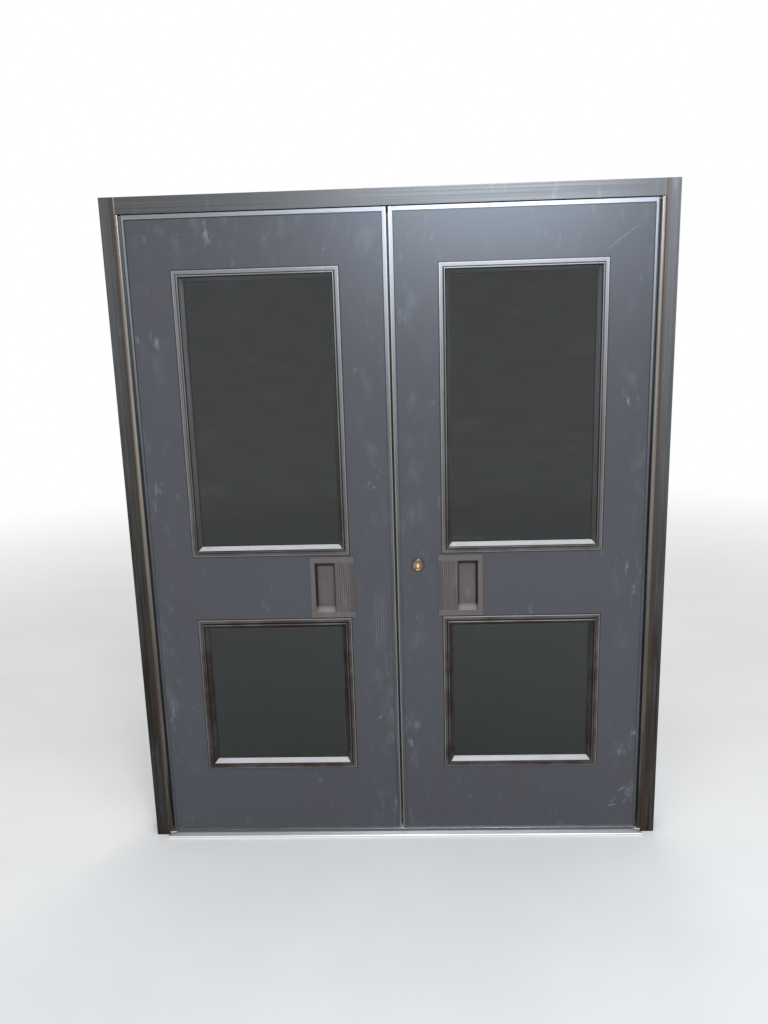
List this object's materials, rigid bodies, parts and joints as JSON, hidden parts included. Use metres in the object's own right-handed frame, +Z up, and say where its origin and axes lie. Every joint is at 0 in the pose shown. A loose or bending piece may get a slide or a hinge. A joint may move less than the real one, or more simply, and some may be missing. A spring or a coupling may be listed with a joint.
{
  "type": "double steel door",
  "caption": "Pair of outward-opening entrance doors in their frame, each leaf with two glazed lights, a recessed pull, a full-height geared hinge and an exit device.",
  "frame": {"origin": "middle of the frame's width and depth, on the floor", "axes": "+X to the right seen from outside, +Y into the building, +Z up"},
  "size_m": [1.778, 0.1396, 2.1844],
  "materials": {
    "painted_steel": "satin paint",
    "bronze_aluminium": "dark bronze anodised",
    "pull_bronze": "dark bronze anodised, worn",
    "mill_aluminium": "mill finish",
    "spacer_aluminium": "mill finish",
    "satin_aluminium": "satin anodised",
    "satin_steel": "satin lacquer",
    "latch_steel": "zinc plated",
    "mullion_steel": "dark bronze paint",
    "cylinder_brass": "satin",
    "collar_brass": "worn satin",
    "clear_glass": "clear",
    "black_seal": "matt",
    "bearing_plastic": "moulded",
    "foam_core": "foam"
  },
  "bodies": {
    "frame": {"jamb_left": "bronze_aluminium", "jamb_right": "bronze_aluminium", "head": "bronze_aluminium", "stop_left": "bronze_aluminium", "stop_right": "bronze_aluminium", "stop_head": "bronze_aluminium", "weatherstrips": "black_seal", "threshold": "mill_aluminium", "mullion": "mullion_steel", "mullion_fittings": "latch_steel", "strikes": "latch_steel", "hinge_frame_leaf_left": "bronze_aluminium", "hinge_frame_leaf_right": "bronze_aluminium"},
    "hinge_cap_left": {"hinge_cap_left": "bronze_aluminium", "hinge_bearings_left": "bearing_plastic"},
    "leaf_left": {"stile_hinge_left": "bronze_aluminium", "stile_meeting_left": "bronze_aluminium", "rail_top_left": "bronze_aluminium", "rail_bottom_left": "bronze_aluminium", "sheet_outer_left": "painted_steel", "sheet_inner_left": "painted_steel", "core_left": "foam_core", "door_sweep_left": "black_seal", "glazing_frames_outer_left": "bronze_aluminium", "glazing_frames_inner_left": "bronze_aluminium", "glass_left": "clear_glass", "glass_spacers_left": "spacer_aluminium", "glazing_gaskets_left": "black_seal", "pull_left": "pull_bronze", "hinge_door_leaf_left": "bronze_aluminium", "exit_case_left": "satin_steel", "exit_rail_left": "satin_aluminium", "exit_end_cap_left": "satin_steel"},
    "push_bar_left": {"push_bar_left": "satin_aluminium"},
    "latch_left": {"latch_left": "latch_steel"},
    "hinge_cap_right": {"hinge_cap_right": "bronze_aluminium", "hinge_bearings_right": "bearing_plastic"},
    "leaf_right": {"stile_hinge_right": "bronze_aluminium", "stile_meeting_right": "bronze_aluminium", "rail_top_right": "bronze_aluminium", "rail_bottom_right": "bronze_aluminium", "sheet_outer_right": "painted_steel", "sheet_inner_right": "painted_steel", "core_right": "foam_core", "door_sweep_right": "black_seal", "glazing_frames_outer_right": "bronze_aluminium", "glazing_frames_inner_right": "bronze_aluminium", "glass_right": "clear_glass", "glass_spacers_right": "spacer_aluminium", "glazing_gaskets_right": "black_seal", "pull_right": "pull_bronze", "hinge_door_leaf_right": "bronze_aluminium", "exit_case_right": "satin_steel", "exit_rail_right": "satin_aluminium", "exit_end_cap_right": "satin_steel", "cylinder_collar": "collar_brass", "cylinder_body": "cylinder_brass"},
    "push_bar_right": {"push_bar_right": "satin_aluminium"},
    "latch_right": {"latch_right": "latch_steel"},
    "cylinder_core": {"cylinder_core": "cylinder_brass"}
  },
  "joints": [
    {"name": "hinge_cap_left_turn", "type": "hinge", "parent": "frame", "child": "hinge_cap_left", "pos_m": [-0.8404, -0.06155, 1.07], "axis": [0, 0, -1], "range_deg": [0, 47.5]},
    {"name": "leaf_left_swing", "type": "hinge", "parent": "frame", "child": "leaf_left", "pos_m": [-0.8373, -0.06291, 1.07], "axis": [0, 0, -1], "range_deg": [0, 95]},
    {"name": "push_bar_left_slide", "type": "slide", "parent": "leaf_left", "child": "push_bar_left", "axis": [0, 1, 0], "range_m": [0, 0.015]},
    {"name": "latch_left_slide", "type": "slide", "parent": "leaf_left", "child": "latch_left", "axis": [1, 0, 0], "range_m": [0, 0.017]},
    {"name": "hinge_cap_right_turn", "type": "hinge", "parent": "frame", "child": "hinge_cap_right", "pos_m": [0.8404, -0.06155, 1.07], "axis": [0, 0, 1], "range_deg": [0, 47.5]},
    {"name": "leaf_right_swing", "type": "hinge", "parent": "frame", "child": "leaf_right", "pos_m": [0.8373, -0.06291, 1.07], "axis": [0, 0, 1], "range_deg": [0, 95]},
    {"name": "push_bar_right_slide", "type": "slide", "parent": "leaf_right", "child": "push_bar_right", "axis": [0, 1, 0], "range_m": [0, 0.015]},
    {"name": "latch_right_slide", "type": "slide", "parent": "leaf_right", "child": "latch_right", "axis": [-1, 0, 0], "range_m": [0, 0.017]},
    {"name": "cylinder_core_turn", "type": "hinge", "parent": "leaf_right", "child": "cylinder_core", "pos_m": [0.074, -0.05, 0.9935], "axis": [0, 1, 0], "range_deg": [-90, 180]}
  ],
  "couplings": [
    {"joint": "hinge_cap_left_turn", "follows": "leaf_left_swing", "ratio": 0.5},
    {"joint": "latch_left_slide", "follows": "push_bar_left_slide", "ratio": 1.1333},
    {"joint": "hinge_cap_right_turn", "follows": "leaf_right_swing", "ratio": 0.5},
    {"joint": "latch_right_slide", "follows": "push_bar_right_slide", "ratio": 1.1333}
  ]
}
